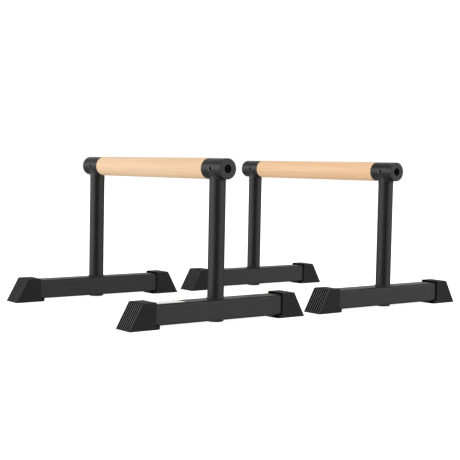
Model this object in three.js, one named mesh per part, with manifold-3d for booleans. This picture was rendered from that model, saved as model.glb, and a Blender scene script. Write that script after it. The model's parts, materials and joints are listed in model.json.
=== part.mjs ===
// A pair of low parallel bars for floor training. Each unit is a wooden hand bar
// held between two welded steel end frames that stand on slip-on rubber feet.
// Millimetres. +X runs along the bars, +Y across the pair, +Z up, floor at Z = 0.
import * as THREE from 'three';
import { mergeVertices } from 'three/addons/utils/BufferGeometryUtils.js';
import Module from 'manifold-3d';

const wasm = await Module();
wasm.setup();

// ---- Layout of the pair ----
const BAR_SPACING = 455; // between the two bar axes
const POST_HALF_SPAN = 225; // unit centre to post axis
const BAR_AXIS_Z = 294; // floor to bar axis
const FIT_GAP = 0.3; // clearance where one piece is cut by its neighbour
const OVERCUT = 2; // how far a cutter runs past the face it cuts

// ---- Collar: closed-end socket that takes the end of the wooden bar ----
const COLLAR_R = 20;
const COLLAR_BORE_R = 17;
const COLLAR_INNER_X = -28.5; // mouth, measured outward from the post axis
const COLLAR_OUTER_X = 31.5; // end face
const COLLAR_BORE_END_X = 12.5; // inside face of the end wall
const COLLAR_RECESS_FLOOR_X = 18; // floor of the bolt head recess
const COLLAR_RECESS_R = 8;
const COLLAR_BOLT_HOLE_R = 4.5;
const COLLAR_EDGE_CHAMFER = 0.9;
const SET_SCREW_HOLE_R = 4;

// ---- Wooden bar ----
const BAR_R = 20.5;
const BAR_RIM_CHAMFER = 1.3; // eased shoulder edge beside each collar
const TENON_R = 16.6;
const TENON_END_X = 11.5; // outward from the post axis
const INSERT_POCKET_R = 6.3;
const INSERT_POCKET_FLOOR_X = -8.3;
const BOLT_TIP_BORE_R = 4.6;
const BOLT_TIP_BORE_FLOOR_X = -22.5;

// ---- Post and its welds ----
const POST_R = 16;
const POST_BORE_R = 13.5;
const WELD_GAP = 0.15;
const BASE_WELD_WIDTH = 2.5;
const BASE_WELD_HEIGHT = 2.6;
const BASE_WELD_OUTER_HEIGHT = 0.6;
const BASE_WELD_ROOT = 3; // depth trimmed away where the weld beds on the tube
// Collar weld section as [outward, upward] steps from the saddle line.
const COLLAR_WELD_SECTION = [[0, -2.9], [1.6, -1.5], [2.6, 1], [0, 1]];

// ---- Base tube ----
const BASE_SIZE = 40;
const BASE_WALL = 2.5;
const BASE_CORNER_R = 4;
const BASE_UNDERSIDE_Z = 6;
const BASE_TOP_Z = BASE_UNDERSIDE_Z + BASE_SIZE;
const BASE_HALF_LENGTH = 176;
const BASE_PLUG_HOLE_R = 10.5;

// ---- Rubber foot: slips over the end of the base tube ----
const FOOT_WIDTH = 46;
const FOOT_HEIGHT = 50;
const FOOT_TIP_Y = 208; // at the floor
const FOOT_SHOULDER_Y = 180; // top of the sloping end face
const FOOT_MOUTH_Y = 149.5; // rim of the sleeve
const FOOT_SOLE_Y = 136; // inboard end of the sole tongue
const FOOT_TONGUE_ROUND = 12;
const FOOT_EDGE_CHAMFER = 1.5;
const FOOT_RIB_COUNT = 8;
const FOOT_GROOVE_WIDTH = 4.2;
const FOOT_GROOVE_DEPTH = 3;

// ---- Bar bolt (M8 socket cap), washer and threaded insert ----
const BOLT_SHANK_R = 4;
const BOLT_TIP_X = -20.4;
const BOLT_TIP_CHAMFER = 0.8;
const WASHER_THICKNESS = 1.6;
const WASHER_R = 7.2;
const WASHER_BORE_R = 4.4;
const BOLT_SEAT_X = COLLAR_RECESS_FLOOR_X + WASHER_THICKNESS;
const BOLT_HEAD_R = 6.5;
const BOLT_HEAD_HEIGHT = 8;
const BOLT_HEAD_CHAMFER = 0.6;
const BOLT_SOCKET_FLAT = 3; // half across the flats
const BOLT_SOCKET_DEPTH = 4.5;
const INSERT_R = 6;
const INSERT_BORE_R = 4.4;
const INSERT_LENGTH = 19.3;

// ---- Set screw in the side of the collar ----
const SET_SCREW_R = 3.7;
const SET_SCREW_TIP_Y = 9.6;
const SET_SCREW_TOP_Y = 17.2;
const SET_SCREW_POINT_CHAMFER = 1;
const SET_SCREW_POCKET_Y = 9.3;
const SET_SCREW_SOCKET_FLAT = 2;
const SET_SCREW_SOCKET_DEPTH = 3.5;

// ---- Push-in plug under the post ----
const PLUG_FLANGE_R = 16.5;
const PLUG_FLANGE_THICKNESS = 3.5;
const PLUG_FLANGE_CHAMFER = 1;
const PLUG_STEM_R = 10.1;
const PLUG_STEM_TOP_Z = 16;

// ---- Blank label ----
const LABEL_LENGTH = 66;
const LABEL_WIDTH = 26.5;
const LABEL_THICKNESS = 0.3;
const LABEL_CENTRE_Y = -113;
const LABEL_CORNER_R = 2;

// ---- Facets around round pieces ----
const ROUND_FACETS = 28;
const SMALL_FACETS = 14;

const AXIS_X = new THREE.Vector3(1, 0, 0);
const AXIS_Y = new THREE.Vector3(0, 1, 0);
const AXIS_Z = new THREE.Vector3(0, 0, 1);

// ---- Solid helpers ----

function signedVolume(positions, triangles) {
  const a = new THREE.Vector3();
  const b = new THREE.Vector3();
  const c = new THREE.Vector3();
  let volume = 0;
  for (let i = 0; i < triangles.length; i += 3) {
    a.fromArray(positions, triangles[i] * 3);
    b.fromArray(positions, triangles[i + 1] * 3);
    c.fromArray(positions, triangles[i + 2] * 3);
    volume += a.dot(b.cross(c)) / 6;
  }
  return volume;
}

// Welds a closed surface and turns it into a solid whose faces point outward.
function solidFrom(geometry) {
  geometry.deleteAttribute('normal');
  geometry.deleteAttribute('uv');
  const welded = geometry.index ? geometry : mergeVertices(geometry, 1e-3);
  const positions = Float32Array.from(welded.attributes.position.array);
  const index = welded.index.array;
  const triangles = [];
  for (let i = 0; i < index.length; i += 3) {
    const corners = [index[i], index[i + 1], index[i + 2]];
    if (new Set(corners).size === 3) {
      triangles.push(...corners);
    }
  }
  if (signedVolume(positions, triangles) < 0) {
    triangles.reverse();
  }
  return new wasm.Manifold(new wasm.Mesh({
    numProp: 3,
    vertProperties: positions,
    triVerts: Uint32Array.from(triangles),
  }));
}

function geometryFrom(solid) {
  const mesh = solid.getMesh();
  const geometry = new THREE.BufferGeometry();
  geometry.setAttribute('position', new THREE.BufferAttribute(mesh.vertProperties, 3));
  geometry.setIndex(new THREE.BufferAttribute(mesh.triVerts, 1));
  return geometry;
}

// Revolves [radius, height] points about Z. The outline either starts and ends on
// the axis or comes back to its first point.
function turnedGeometry(profile, facets) {
  const closed = profile[0].join() === profile[profile.length - 1].join();
  const outline = closed ? profile.slice(0, -1) : profile;
  const positions = [];
  const rings = outline.map(([radius, height]) => {
    const first = positions.length / 3;
    const count = radius === 0 ? 1 : facets;
    for (let step = 0; step < count; step += 1) {
      const angle = (step / facets) * 2 * Math.PI;
      positions.push(radius * Math.cos(angle), radius * Math.sin(angle), height);
    }
    return Array.from({ length: facets }, (unused, step) => first + (step % count));
  });
  return ringSurface(positions, rings, closed);
}

// Joins rings of equal length into a surface; closed joins the last to the first.
function ringSurface(positions, rings, closed) {
  const index = [];
  const bands = closed ? rings.length : rings.length - 1;
  for (let band = 0; band < bands; band += 1) {
    const lower = rings[band];
    const upper = rings[(band + 1) % rings.length];
    lower.forEach((corner, step) => {
      const next = (step + 1) % lower.length;
      index.push(corner, lower[next], upper[next]);
      index.push(corner, upper[next], upper[step]);
    });
  }
  const geometry = new THREE.BufferGeometry();
  geometry.setAttribute('position', new THREE.Float32BufferAttribute(positions, 3));
  geometry.setIndex(index);
  return geometry;
}

function turnedAboutZ(profile, facets) {
  return solidFrom(turnedGeometry(profile, facets));
}

// Revolves [radius, x] points about the line along X at the bar's height.
function turnedAboutBar(profile, facets) {
  const geometry = turnedGeometry(profile, facets).rotateY(Math.PI / 2);
  return solidFrom(geometry.translate(0, 0, BAR_AXIS_Z));
}

// Revolves [radius, y] points about the line along +Y or -Y at the bar's height.
function turnedAcrossBar(profile, facets, side) {
  const geometry = turnedGeometry(profile, facets).rotateX((-side * Math.PI) / 2);
  return solidFrom(geometry.translate(0, 0, BAR_AXIS_Z));
}

function pinProfile(radius, start, end) {
  return [[0, start], [radius, start], [radius, end], [0, end]];
}

function ringProfile(innerR, outerR, start, end) {
  return [[innerR, start], [outerR, start], [outerR, end], [innerR, end], [innerR, start]];
}

function roundedRectangle(width, height, radius) {
  const shape = new THREE.Shape();
  const w = width / 2 - radius;
  const h = height / 2 - radius;
  const quarter = Math.PI / 2;
  shape.absarc(w, h, radius, 0, quarter);
  shape.absarc(-w, h, radius, quarter, 2 * quarter);
  shape.absarc(-w, -h, radius, 2 * quarter, 3 * quarter);
  shape.absarc(w, -h, radius, 3 * quarter, 4 * quarter);
  shape.closePath();
  return shape;
}

function extruded(shape, depth, curveSegments) {
  const settings = { depth, curveSegments, bevelEnabled: false, steps: 1 };
  return new THREE.ExtrudeGeometry(shape, settings).translate(0, 0, -depth / 2);
}

// Extrudes an (x, z) outline along Y.
function prismAlongY(shape, length, curveSegments) {
  const geometry = extruded(shape, length, curveSegments);
  const turn = new THREE.Matrix4().makeBasis(AXIS_X, AXIS_Z, AXIS_Y.clone().negate());
  return geometry.applyMatrix4(turn);
}

// Extrudes (y, z) corner points along X.
function prismAlongX(corners, width) {
  const outline = corners.map(([y, z]) => new THREE.Vector2(y, z));
  const turn = new THREE.Matrix4().makeBasis(AXIS_Y, AXIS_Z, AXIS_X);
  return extruded(new THREE.Shape(outline), width, 1).applyMatrix4(turn);
}

// ---- End frame pieces, built around the post axis with +X pointing outboard ----

function buildCollar() {
  const chamfer = COLLAR_EDGE_CHAMFER;
  let collar = turnedAboutBar([
    [COLLAR_BORE_R, COLLAR_INNER_X],
    [COLLAR_R - chamfer, COLLAR_INNER_X],
    [COLLAR_R, COLLAR_INNER_X + chamfer],
    [COLLAR_R, COLLAR_OUTER_X - chamfer],
    [COLLAR_R - chamfer, COLLAR_OUTER_X],
    [COLLAR_RECESS_R, COLLAR_OUTER_X],
    [COLLAR_RECESS_R, COLLAR_RECESS_FLOOR_X],
    [COLLAR_BOLT_HOLE_R, COLLAR_RECESS_FLOOR_X],
    [COLLAR_BOLT_HOLE_R, COLLAR_BORE_END_X],
    [COLLAR_BORE_R, COLLAR_BORE_END_X],
    [COLLAR_BORE_R, COLLAR_INNER_X],
  ], ROUND_FACETS);
  for (const side of [-1, 1]) {
    const drill = pinProfile(SET_SCREW_HOLE_R, COLLAR_BORE_R - OVERCUT, COLLAR_R + OVERCUT);
    collar = collar.subtract(turnedAcrossBar(drill, SMALL_FACETS, side));
  }
  return collar;
}

function buildPost() {
  const postFoot = BASE_UNDERSIDE_Z + BASE_WALL + FIT_GAP;
  const wall = ringProfile(POST_BORE_R, POST_R, postFoot, BAR_AXIS_Z);
  const cope = pinProfile(COLLAR_R + FIT_GAP, -2 * POST_R, 2 * POST_R);
  return turnedAboutZ(wall, ROUND_FACETS).subtract(turnedAboutBar(cope, ROUND_FACETS));
}

function baseEnvelope() {
  const outline = roundedRectangle(BASE_SIZE, BASE_SIZE, BASE_CORNER_R);
  const centreZ = BASE_UNDERSIDE_Z + BASE_SIZE / 2;
  return prismAlongY(outline, 2 * BASE_HALF_LENGTH, 4).translate(0, 0, centreZ);
}

function buildBaseTube() {
  const inside = BASE_SIZE - 2 * BASE_WALL;
  const outline = roundedRectangle(inside, inside, BASE_CORNER_R - BASE_WALL);
  const centreZ = BASE_UNDERSIDE_Z + BASE_SIZE / 2;
  const boreLength = 2 * (BASE_HALF_LENGTH + OVERCUT);
  const bore = prismAlongY(outline, boreLength, 2).translate(0, 0, centreZ);
  const postHole = pinProfile(POST_R + FIT_GAP, centreZ, BASE_TOP_Z + OVERCUT);
  const plugHole = pinProfile(BASE_PLUG_HOLE_R, 0, centreZ);
  return solidFrom(baseEnvelope())
    .subtract(solidFrom(bore))
    .subtract(turnedAboutZ(postHole, ROUND_FACETS))
    .subtract(turnedAboutZ(plugHole, SMALL_FACETS));
}

// Fillet weld around the foot of the post, bedded on the rounded tube.
function buildBaseWeld() {
  const innerR = POST_R + FIT_GAP;
  const bead = turnedAboutZ([
    [innerR, BASE_TOP_Z - BASE_WELD_ROOT],
    [innerR + BASE_WELD_WIDTH, BASE_TOP_Z - BASE_WELD_ROOT],
    [innerR + BASE_WELD_WIDTH, BASE_TOP_Z + BASE_WELD_OUTER_HEIGHT],
    [innerR, BASE_TOP_Z + BASE_WELD_HEIGHT],
    [innerR, BASE_TOP_Z - BASE_WELD_ROOT],
  ], ROUND_FACETS);
  return bead.subtract(solidFrom(baseEnvelope()));
}

// Height of the collar's underside above the floor at a point round the post.
function saddleZ(radius, angle) {
  const across = radius * Math.sin(angle);
  return BAR_AXIS_Z - Math.sqrt(COLLAR_R * COLLAR_R - across * across);
}

// Fillet weld that follows the saddle, trimmed to bed against the collar.
function buildCollarWeld() {
  const innerR = POST_R + WELD_GAP;
  const positions = [];
  const rings = COLLAR_WELD_SECTION.map(([out, rise], band) => {
    const radius = innerR + out;
    const ring = [];
    for (let step = 0; step < ROUND_FACETS; step += 1) {
      const angle = (step / ROUND_FACETS) * 2 * Math.PI;
      positions.push(radius * Math.cos(angle), radius * Math.sin(angle));
      positions.push(saddleZ(radius, angle) + rise);
      ring.push(band * ROUND_FACETS + step);
    }
    return ring;
  });
  const collarSpace = pinProfile(COLLAR_R + WELD_GAP, -2 * POST_R, 2 * POST_R);
  const bead = solidFrom(ringSurface(positions, rings, true));
  return bead.subtract(turnedAboutBar(collarSpace, ROUND_FACETS));
}

function buildPlug() {
  const flangeBottom = BASE_UNDERSIDE_Z - PLUG_FLANGE_THICKNESS;
  return turnedAboutZ([
    [0, flangeBottom],
    [PLUG_FLANGE_R - PLUG_FLANGE_CHAMFER, flangeBottom],
    [PLUG_FLANGE_R, flangeBottom + PLUG_FLANGE_CHAMFER],
    [PLUG_FLANGE_R, BASE_UNDERSIDE_Z],
    [PLUG_STEM_R, BASE_UNDERSIDE_Z],
    [PLUG_STEM_R, PLUG_STEM_TOP_Z],
    [0, PLUG_STEM_TOP_Z],
  ], SMALL_FACETS);
}

// Six-sided recess: half the width across the flats, along the given span.
function hexProfile(flat, start, end) {
  return pinProfile(flat / Math.cos(Math.PI / 6), start, end);
}

function buildBolt() {
  const headTop = BOLT_SEAT_X + BOLT_HEAD_HEIGHT;
  const blank = turnedAboutBar([
    [0, BOLT_TIP_X],
    [BOLT_SHANK_R - BOLT_TIP_CHAMFER, BOLT_TIP_X],
    [BOLT_SHANK_R, BOLT_TIP_X + BOLT_TIP_CHAMFER],
    [BOLT_SHANK_R, BOLT_SEAT_X],
    [BOLT_HEAD_R, BOLT_SEAT_X],
    [BOLT_HEAD_R, headTop - BOLT_HEAD_CHAMFER],
    [BOLT_HEAD_R - BOLT_HEAD_CHAMFER, headTop],
    [0, headTop],
  ], SMALL_FACETS);
  const socketFloor = headTop - BOLT_SOCKET_DEPTH;
  const socket = hexProfile(BOLT_SOCKET_FLAT, socketFloor, headTop + OVERCUT);
  return blank.subtract(turnedAboutBar(socket, 6));
}

function buildWasher() {
  const outline = ringProfile(WASHER_BORE_R, WASHER_R, COLLAR_RECESS_FLOOR_X, BOLT_SEAT_X);
  return turnedAboutBar(outline, SMALL_FACETS);
}

function buildInsert() {
  const innerX = INSERT_POCKET_FLOOR_X + FIT_GAP;
  const outline = ringProfile(INSERT_BORE_R, INSERT_R, innerX, innerX + INSERT_LENGTH);
  return turnedAboutBar(outline, SMALL_FACETS);
}

function buildSetScrew() {
  const blank = turnedAcrossBar([
    [0, SET_SCREW_TIP_Y],
    [SET_SCREW_R - SET_SCREW_POINT_CHAMFER, SET_SCREW_TIP_Y],
    [SET_SCREW_R, SET_SCREW_TIP_Y + SET_SCREW_POINT_CHAMFER],
    [SET_SCREW_R, SET_SCREW_TOP_Y],
    [0, SET_SCREW_TOP_Y],
  ], SMALL_FACETS, 1);
  const floor = SET_SCREW_TOP_Y - SET_SCREW_SOCKET_DEPTH;
  const socket = hexProfile(SET_SCREW_SOCKET_FLAT, floor, SET_SCREW_TOP_Y + OVERCUT);
  return blank.subtract(turnedAcrossBar(socket, 6, 1));
}

// ---- Rubber foot ----

// Side outline of the foot above the floor, sleeve and sole tongue together.
function footBody() {
  return solidFrom(prismAlongX([
    [FOOT_SOLE_Y, 0],
    [FOOT_TIP_Y, 0],
    [FOOT_SHOULDER_Y, FOOT_HEIGHT],
    [FOOT_MOUTH_Y, FOOT_HEIGHT],
    [FOOT_MOUTH_Y, BASE_UNDERSIDE_Z],
    [FOOT_SOLE_Y, BASE_UNDERSIDE_Z],
  ], FOOT_WIDTH));
}

// Plan outline that rounds the corners of the sole tongue.
function footPlanTrim() {
  const half = FOOT_WIDTH / 2;
  const round = FOOT_TONGUE_ROUND;
  const outline = new THREE.Shape();
  outline.moveTo(half, FOOT_TIP_Y + OVERCUT);
  outline.lineTo(-half, FOOT_TIP_Y + OVERCUT);
  outline.lineTo(-half, FOOT_SOLE_Y + round);
  outline.absarc(-half + round, FOOT_SOLE_Y + round, round, Math.PI, 1.5 * Math.PI);
  outline.absarc(half - round, FOOT_SOLE_Y + round, round, 1.5 * Math.PI, 2 * Math.PI);
  outline.closePath();
  return solidFrom(extruded(outline, 2 * (FOOT_HEIGHT + OVERCUT), 4));
}

// End outline that eases the long top edges.
function footEndTrim() {
  const half = FOOT_WIDTH / 2;
  const ease = FOOT_EDGE_CHAMFER;
  const outline = new THREE.Shape([
    new THREE.Vector2(-half, -OVERCUT),
    new THREE.Vector2(half, -OVERCUT),
    new THREE.Vector2(half, FOOT_HEIGHT - ease),
    new THREE.Vector2(half - ease, FOOT_HEIGHT),
    new THREE.Vector2(-half + ease, FOOT_HEIGHT),
    new THREE.Vector2(-half, FOOT_HEIGHT - ease),
  ]);
  return solidFrom(prismAlongY(outline, 2 * (FOOT_TIP_Y + OVERCUT), 1));
}

function footSocket() {
  const size = BASE_SIZE + FIT_GAP * 2;
  const outline = roundedRectangle(size, size, BASE_CORNER_R + FIT_GAP);
  const centreZ = BASE_UNDERSIDE_Z + size / 2;
  const socketEnd = BASE_HALF_LENGTH + FIT_GAP;
  const socket = prismAlongY(outline, 2 * socketEnd, 4).translate(0, 0, centreZ);
  return solidFrom(socket);
}

// Groove that runs up the sloping end face between two ribs.
function footGroove(centreX) {
  const slope = (FOOT_SHOULDER_Y - FOOT_TIP_Y) / FOOT_HEIGHT;
  const rise = FOOT_HEIGHT + OVERCUT;
  const depthY = FOOT_GROOVE_DEPTH * Math.hypot(1, slope);
  const lowY = FOOT_TIP_Y - OVERCUT * slope;
  const highY = FOOT_TIP_Y + rise * slope;
  const groove = prismAlongX([
    [lowY - depthY, -OVERCUT],
    [lowY + OVERCUT, -OVERCUT],
    [highY + OVERCUT, rise],
    [highY - depthY, rise],
  ], FOOT_GROOVE_WIDTH);
  return solidFrom(groove.translate(centreX, 0, 0));
}

function buildFoot() {
  let foot = footBody().intersect(footPlanTrim()).intersect(footEndTrim());
  foot = foot.subtract(footSocket());
  const pitch = (FOOT_WIDTH + FOOT_GROOVE_WIDTH) / FOOT_RIB_COUNT;
  for (let k = 1; k < FOOT_RIB_COUNT; k += 1) {
    foot = foot.subtract(footGroove((k - FOOT_RIB_COUNT / 2) * pitch));
  }
  return foot;
}

// ---- Wooden bar, built about the unit's centre ----

function buildWoodBar() {
  const shoulderX = POST_HALF_SPAN + COLLAR_INNER_X;
  const tenonX = POST_HALF_SPAN + TENON_END_X;
  const ease = BAR_RIM_CHAMFER;
  const half = [
    [BAR_R, shoulderX - ease],
    [BAR_R - ease, shoulderX],
    [TENON_R, shoulderX],
    [TENON_R, tenonX],
    [0, tenonX],
  ];
  const mirrored = half.map(([radius, x]) => [radius, -x]).reverse();
  let bar = turnedAboutBar([...mirrored, ...half], ROUND_FACETS);
  const bore = [
    [0, BOLT_TIP_BORE_FLOOR_X],
    [BOLT_TIP_BORE_R, BOLT_TIP_BORE_FLOOR_X],
    [BOLT_TIP_BORE_R, INSERT_POCKET_FLOOR_X],
    [INSERT_POCKET_R, INSERT_POCKET_FLOOR_X],
    [INSERT_POCKET_R, TENON_END_X + OVERCUT],
    [0, TENON_END_X + OVERCUT],
  ];
  const pocket = pinProfile(SET_SCREW_HOLE_R, SET_SCREW_POCKET_Y, TENON_R + OVERCUT);
  for (const end of [-1, 1]) {
    const drilled = turnedAboutBar(bore, SMALL_FACETS).translate([POST_HALF_SPAN, 0, 0]);
    bar = bar.subtract(end > 0 ? drilled : drilled.mirror([1, 0, 0]));
    for (const side of [-1, 1]) {
      const seat = turnedAcrossBar(pocket, SMALL_FACETS, side);
      bar = bar.subtract(seat.translate([end * POST_HALF_SPAN, 0, 0]));
    }
  }
  return bar;
}

function buildLabel() {
  const outline = roundedRectangle(LABEL_WIDTH, LABEL_LENGTH, LABEL_CORNER_R);
  const middleZ = BASE_TOP_Z + LABEL_THICKNESS / 2;
  return solidFrom(extruded(outline, LABEL_THICKNESS, 3).translate(0, LABEL_CENTRE_Y, middleZ));
}

// ---- Finishes ----

const FINISHES = {
  blackSteel: { color: 0x2b2c2e, roughness: 0.62, metalness: 0.2 },
  weldedSteel: { color: 0x262728, roughness: 0.7, metalness: 0.2 },
  wood: { color: 0xe6c79f, roughness: 0.55, metalness: 0 },
  rubber: { color: 0x1c1c1d, roughness: 0.8, metalness: 0 },
  plastic: { color: 0x1f1f20, roughness: 0.6, metalness: 0 },
  fastener: { color: 0x3a3b3d, roughness: 0.4, metalness: 0.8 },
  brass: { color: 0xb08d4c, roughness: 0.4, metalness: 0.9 },
  label: { color: 0xf1f1ee, roughness: 0.5, metalness: 0 },
};

// ---- Assembly ----

const group = new THREE.Group();
group.name = 'parallel_bars';

function addPiece(name, solid, finish, placement) {
  const geometry = geometryFrom(solid).applyMatrix4(placement);
  const mesh = new THREE.Mesh(geometry, new THREE.MeshStandardMaterial(FINISHES[finish]));
  mesh.name = name;
  group.add(mesh);
}

function halfTurn(turned) {
  return new THREE.Matrix4().makeRotationZ(turned ? Math.PI : 0);
}

const framePieces = [
  ['collar', buildCollar(), 'blackSteel'],
  ['post', buildPost(), 'blackSteel'],
  ['base_tube', buildBaseTube(), 'blackSteel'],
  ['collar_weld', buildCollarWeld(), 'weldedSteel'],
  ['base_weld', buildBaseWeld(), 'weldedSteel'],
  ['post_plug', buildPlug(), 'plastic'],
  ['bar_bolt', buildBolt(), 'fastener'],
  ['bolt_washer', buildWasher(), 'fastener'],
  ['bar_insert', buildInsert(), 'brass'],
];
const footSolid = buildFoot();
const setScrewSolid = buildSetScrew();
const woodBarSolid = buildWoodBar();

// The right unit stands at -Y and the left unit at +Y; front is +X.
const units = [
  { name: 'right', y: -BAR_SPACING / 2 },
  { name: 'left', y: BAR_SPACING / 2 },
];
const ends = [
  { name: 'front', side: 1 },
  { name: 'rear', side: -1 },
];

for (const unit of units) {
  const centre = new THREE.Matrix4().makeTranslation(0, unit.y, 0);
  addPiece(`${unit.name}_wood_bar`, woodBarSolid, 'wood', centre);
  for (const end of ends) {
    const stem = `${unit.name}_${end.name}`;
    const postX = end.side * POST_HALF_SPAN;
    const post = new THREE.Matrix4().makeTranslation(postX, unit.y, 0);
    const frame = post.clone().multiply(halfTurn(end.side < 0));
    for (const [part, solid, finish] of framePieces) {
      addPiece(`${stem}_${part}`, solid, finish, frame);
    }
    for (const across of [-1, 1]) {
      const inward = across * unit.y < 0;
      const label = inward ? 'inner' : 'outer';
      const place = post.clone().multiply(halfTurn(across < 0));
      addPiece(`${stem}_${label}_foot`, footSolid, 'rubber', place);
      addPiece(`${stem}_${label}_set_screw`, setScrewSolid, 'fastener', place);
    }
  }
}

const labelPlace = new THREE.Matrix4().makeTranslation(POST_HALF_SPAN, -BAR_SPACING / 2, 0);
addPiece('right_front_label', buildLabel(), 'label', labelPlace);

export default group;
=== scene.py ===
"""A pair of low parallel bars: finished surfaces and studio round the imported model."""
import json
import math

import bmesh
import bpy
from mathutils import Matrix, Vector


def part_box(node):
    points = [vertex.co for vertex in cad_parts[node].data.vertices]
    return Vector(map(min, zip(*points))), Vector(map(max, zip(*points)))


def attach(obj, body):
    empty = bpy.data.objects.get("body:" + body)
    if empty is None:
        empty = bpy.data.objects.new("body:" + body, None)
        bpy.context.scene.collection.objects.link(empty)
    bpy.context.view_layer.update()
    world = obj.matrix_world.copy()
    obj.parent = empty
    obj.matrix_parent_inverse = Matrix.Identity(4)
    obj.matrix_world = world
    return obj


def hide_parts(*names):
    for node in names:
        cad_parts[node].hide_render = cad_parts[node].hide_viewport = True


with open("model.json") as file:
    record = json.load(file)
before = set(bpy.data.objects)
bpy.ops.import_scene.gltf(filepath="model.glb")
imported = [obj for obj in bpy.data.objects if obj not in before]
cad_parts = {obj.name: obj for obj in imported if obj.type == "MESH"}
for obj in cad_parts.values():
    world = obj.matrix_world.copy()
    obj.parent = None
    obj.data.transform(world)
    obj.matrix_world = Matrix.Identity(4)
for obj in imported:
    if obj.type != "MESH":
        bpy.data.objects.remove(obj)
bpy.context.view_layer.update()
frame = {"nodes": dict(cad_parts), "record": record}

MM = 0.001
TURN = 2 * math.pi

# ---------------------------------------------------------------- sizes
# Millimetres. Names that end in END, FLOOR, SHOULDER or MOUTH are distances outward
# from the post axis. SET_SCREW_TIP and SET_SCREW_POCKET are distances from the bar axis.
# Collar.
COLLAR_BORE_R = 17.0
COLLAR_BORE_END = 12.5
RECESS_R = 8.0
RECESS_FLOOR = 18.0
BOLT_HOLE_R = 4.5
SET_SCREW_HOLE_R = 4.0
COUNTERSINK = 0.65
# Faces this near a side hole's edge, and this near the collar's surface, are its rim; the coat there
# is lighter, chipped paint and a painted glint.
RIM_REACH = 0.7
RIM_DEPTH = 1.6
# Post, base tube and plug.
POST_BORE_R = 13.5
POST_HOLE_GAP = 0.3
BASE_WALL = 2.5
BASE_CORNER_R = 4.0
PLUG_HOLE_R = 10.5
PLUG_STEM_R = 10.1
# Wooden bar.
TENON_R = 16.6
INSERT_POCKET_R = 6.3
INSERT_POCKET_END = -8.3
BOLT_BORE_R = 4.6
BOLT_BORE_END = -22.5
SET_SCREW_POCKET = 9.3
# Bar bolt and washer.
BOLT_R = 3.98
BOLT_ROOT_R = 3.3
BOLT_TIP_R = 3.1
BOLT_TIP_SHOULDER_R = 3.9
BOLT_PITCH = 1.25
BOLT_NECK = 6.0
BOLT_HEAD = 8.0
BOLT_HEX_HALF_WIDTH = 3.0
BOLT_HEX_DEPTH = 4.5
WASHER_BORE_R = 4.35
# Set screw.
SET_SCREW_TIP = 9.6
SET_SCREW_R = 3.85
SET_SCREW_ROOT_R = 3.4
SET_SCREW_PITCH = 1.0
SET_SCREW_HEX_HALF_WIDTH = 2.0
SET_SCREW_HEX_DEPTH = 3.5
# Welds. A bead's edges sink into the tubes by the lap, and the post's top stands
# as far under the collar.
WELD_LAP = 0.25
WELD_STEPS = 192
WELD_FACE_STEPS = 10
WELD_RIPPLES = 30
RIPPLE_HEIGHT = 0.13
COLLAR_WELD_DROP = 2.9
COLLAR_WELD_REACH = 2.6
COLLAR_WELD_HEEL = 0.3
COLLAR_WELD_BULGE = 0.35
BASE_WELD_SIZE = 2.7
BASE_WELD_BULGE = 0.3
# Rubber foot.
FOOT_SHOULDER = 180.0
FOOT_MOUTH = 149.5
FOOT_RIBS = 8
GROOVE_WIDTH = 4.2
GROOVE_DEPTH = 3.0
TONGUE_ROUND = 12.0
FOOT_TOP_ROUND = 1.9
# Blocks that trim the foot's end view and plan, larger than the foot all round.
TRIM_MARGIN = 9.0
TRIM_LENGTH = 400.0
TRIM_LOW = -20.0
TRIM_HIGH = 90.0
# Clearance of the sleeve round the tube, and its wider lip at the mouth.
SLEEVE_GAP = 0.25
SLEEVE_END_GAP = 0.3
LIP_GAP = 2.2
LIP_DEPTH = 6.0
# Faces this near the foot's outer surface belong to it.
SKIN = 0.4
# Depths under the sloping end where a rib's top, with its painted highlight, ends and where a groove's
# painted shade begins.
RIB_TOP_DEPTH = 0.35
SHADE_DEPTH = 0.6
# Label.
LABEL_CORNER_R = 2.0
# How far a cutter runs past the face it cuts.
OVERCUT = 3.0
BORE_OVERCUT = 2.0
GROOVE_OVERCUT = 4.0
LIP_OVERCUT = 5.0
# Faces narrower than this round an edge; they are lighter: wear on the powder coat, scuffs and a
# painted highlight on the feet, a painted glint on the fasteners.
EDGE_STRIP = 0.42
SCREW_EDGE_STRIP = 0.24
# How strongly large faces rule the shading of the corners they share.
LARGE_FACE_WEIGHT = 60
# Steps round a turned piece, unless its own call says otherwise.
ROUND_STEPS = 96


# ---------------------------------------------------------------- outlines
def fillet(before, corner, after, radius, steps):
    """Points of the arc that rounds a corner between two straight edges."""
    a = (before - corner).normalized()
    b = (after - corner).normalized()
    half = a.angle(b) / 2
    reach = radius / math.tan(half)
    start, end = corner + a * reach, corner + b * reach
    centre = corner + (a + b).normalized() * (radius / math.sin(half))
    points = []
    for k in range(steps + 1):
        t = k / steps
        ray = ((start - centre) * (1 - t) + (end - centre) * t).normalized()
        points.append(centre + ray * radius)
    return points


def rounded(corners, closed=True, steps=5):
    """Outline through (x, y, radius) corners, each rounded by its radius."""
    points = []
    count = len(corners)
    for k, (x, y, radius) in enumerate(corners):
        here = Vector((x, y))
        end = not closed and k in (0, count - 1)
        if radius <= 0 or end:
            points.append(here)
            continue
        before = Vector(corners[k - 1][:2])
        after = Vector(corners[(k + 1) % count][:2])
        points += fillet(before, here, after, radius, steps)
    return points


# ---------------------------------------------------------------- meshes
def new_mesh(name, verts, faces):
    """Mesh in metres from points in millimetres, its doubled corners merged."""
    mesh = bpy.data.meshes.new(name)
    mesh.from_pydata([Vector(v) * MM for v in verts], [], faces)
    bm = bmesh.new()
    bm.from_mesh(mesh)
    bmesh.ops.remove_doubles(bm, verts=bm.verts, dist=1e-7)
    bmesh.ops.recalc_face_normals(bm, faces=bm.faces)
    bm.to_mesh(mesh)
    bm.free()
    return mesh


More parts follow.
